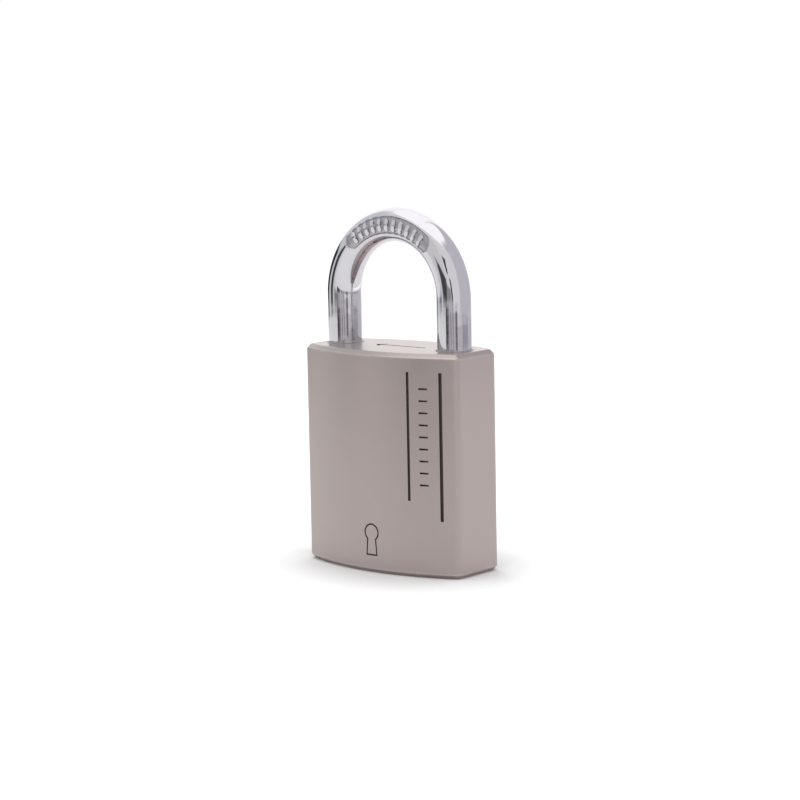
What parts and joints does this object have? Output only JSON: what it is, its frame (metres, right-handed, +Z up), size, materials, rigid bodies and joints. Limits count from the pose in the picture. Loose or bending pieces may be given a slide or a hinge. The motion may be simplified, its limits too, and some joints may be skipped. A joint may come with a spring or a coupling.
{
  "type": "padlock",
  "caption": "Solid-body padlock with crowned faces, a round-bar shackle held by two balls, and a pin cylinder worked from the base.",
  "frame": {"origin": "middle of the base, where the lock stands", "axes": "+Z up along the shackle legs, -Y the front face with the engraved rules, +X the heel side of the shackle"},
  "size_m": [0.05, 0.0264, 0.0912],
  "materials": {
    "satin_nickel": "satin nickel plate over a bead-blasted steel block",
    "chrome_plate": "bright chrome plate over polished hardened steel",
    "hard_steel": "ground hardened steel",
    "spring_steel": "drawn spring wire and stamped spring sheet",
    "brass": "turned brass"
  },
  "bodies": {
    "lock_body": {"body": "satin_nickel", "shackle_pin": "satin_nickel", "cylinder_pin": "satin_nickel", "cross_bore_plug": "satin_nickel", "cylinder_shell": "brass", "anti_drill_pins": "hard_steel", "chamber_strip": "brass", "driver_pin_1": "brass", "driver_pin_2": "brass", "driver_pin_3": "brass", "driver_pin_4": "brass", "driver_pin_5": "brass", "driver_pin_6": "brass", "pin_spring_1": "spring_steel", "pin_spring_2": "spring_steel", "pin_spring_3": "spring_steel", "pin_spring_4": "spring_steel", "pin_spring_5": "spring_steel", "pin_spring_6": "spring_steel"},
    "shackle_bar": {"shackle": "chrome_plate", "shackle_spring": "spring_steel"},
    "plug_group": {"plug": "brass", "plug_clip": "spring_steel", "rotor": "hard_steel", "key_pin_1": "brass", "key_pin_2": "brass", "key_pin_3": "brass", "key_pin_4": "brass", "key_pin_5": "brass", "key_pin_6": "brass"},
    "toe_ball_body": {"toe_ball": "hard_steel"},
    "heel_ball_body": {"heel_ball": "hard_steel"}
  },
  "joints": [
    {"name": "shackle_lift", "type": "slide", "parent": "lock_body", "child": "shackle_bar", "axis": [0, 0, 1], "range_m": [0, 0.0165], "deforming": ["shackle_spring"]},
    {"name": "plug_turn", "type": "hinge", "parent": "lock_body", "child": "plug_group", "pos_m": [0, 0, 0], "axis": [0, 0, -1], "range_deg": [0, 90]},
    {"name": "toe_ball_slide", "type": "slide", "parent": "lock_body", "child": "toe_ball_body", "axis": [-1, 0, 0], "range_m": [0, 0.0023]},
    {"name": "heel_ball_slide", "type": "slide", "parent": "lock_body", "child": "heel_ball_body", "axis": [1, 0, 0], "range_m": [0, 0.0023]}
  ],
  "couplings": [
    {"joint": "toe_ball_slide", "follows": "plug_turn", "m_per_rad": 0.001464},
    {"joint": "heel_ball_slide", "follows": "plug_turn", "m_per_rad": 0.001464}
  ]
}
